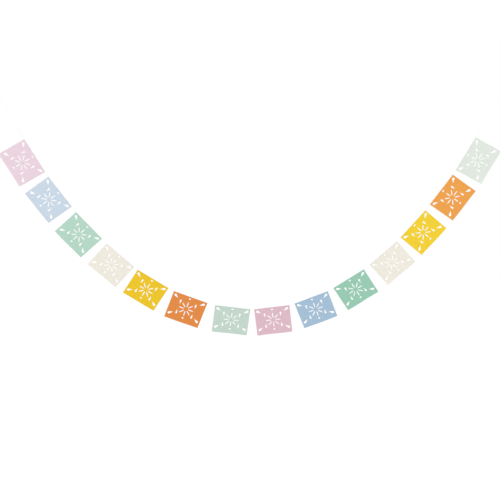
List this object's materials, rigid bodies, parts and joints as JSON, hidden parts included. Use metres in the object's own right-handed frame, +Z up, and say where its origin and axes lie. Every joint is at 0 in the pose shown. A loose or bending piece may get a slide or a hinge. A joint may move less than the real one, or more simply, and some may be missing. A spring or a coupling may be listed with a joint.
{
  "type": "papel picado banner",
  "caption": "Hanging banner of cut paper panels folded over one string, with a tied loop at each end. Pastel and bright paper with flower, drop and dot cut-outs.",
  "frame": {"origin": "where a hook bears on the inside of the left loop's crown", "axes": "+X level towards the right loop, +Y towards the back of the paper, +Z up"},
  "size_m": [2.5152, 0.0094, 1.3467],
  "materials": {
    "pink_paper": "matt uncoated paper",
    "sky_paper": "matt uncoated paper",
    "mint_paper": "matt uncoated paper",
    "cream_paper": "matt uncoated paper",
    "yellow_paper": "matt uncoated paper",
    "orange_paper": "matt uncoated paper",
    "sage_paper": "matt uncoated paper",
    "white_cotton": "twisted white cotton string"
  },
  "bodies": {
    "root": {"panel_01_pink": "pink_paper", "panel_02_sky": "sky_paper", "panel_03_mint": "mint_paper", "panel_04_cream": "cream_paper", "panel_05_yellow": "yellow_paper", "panel_06_orange": "orange_paper", "panel_07_sage": "sage_paper", "panel_08_pink": "pink_paper", "panel_09_sky": "sky_paper", "panel_10_mint": "mint_paper", "panel_11_cream": "cream_paper", "panel_12_yellow": "yellow_paper", "panel_13_orange": "orange_paper", "panel_14_sage": "sage_paper", "string": "white_cotton", "left_loop": "white_cotton", "right_loop": "white_cotton"}
  },
  "joints": []
}
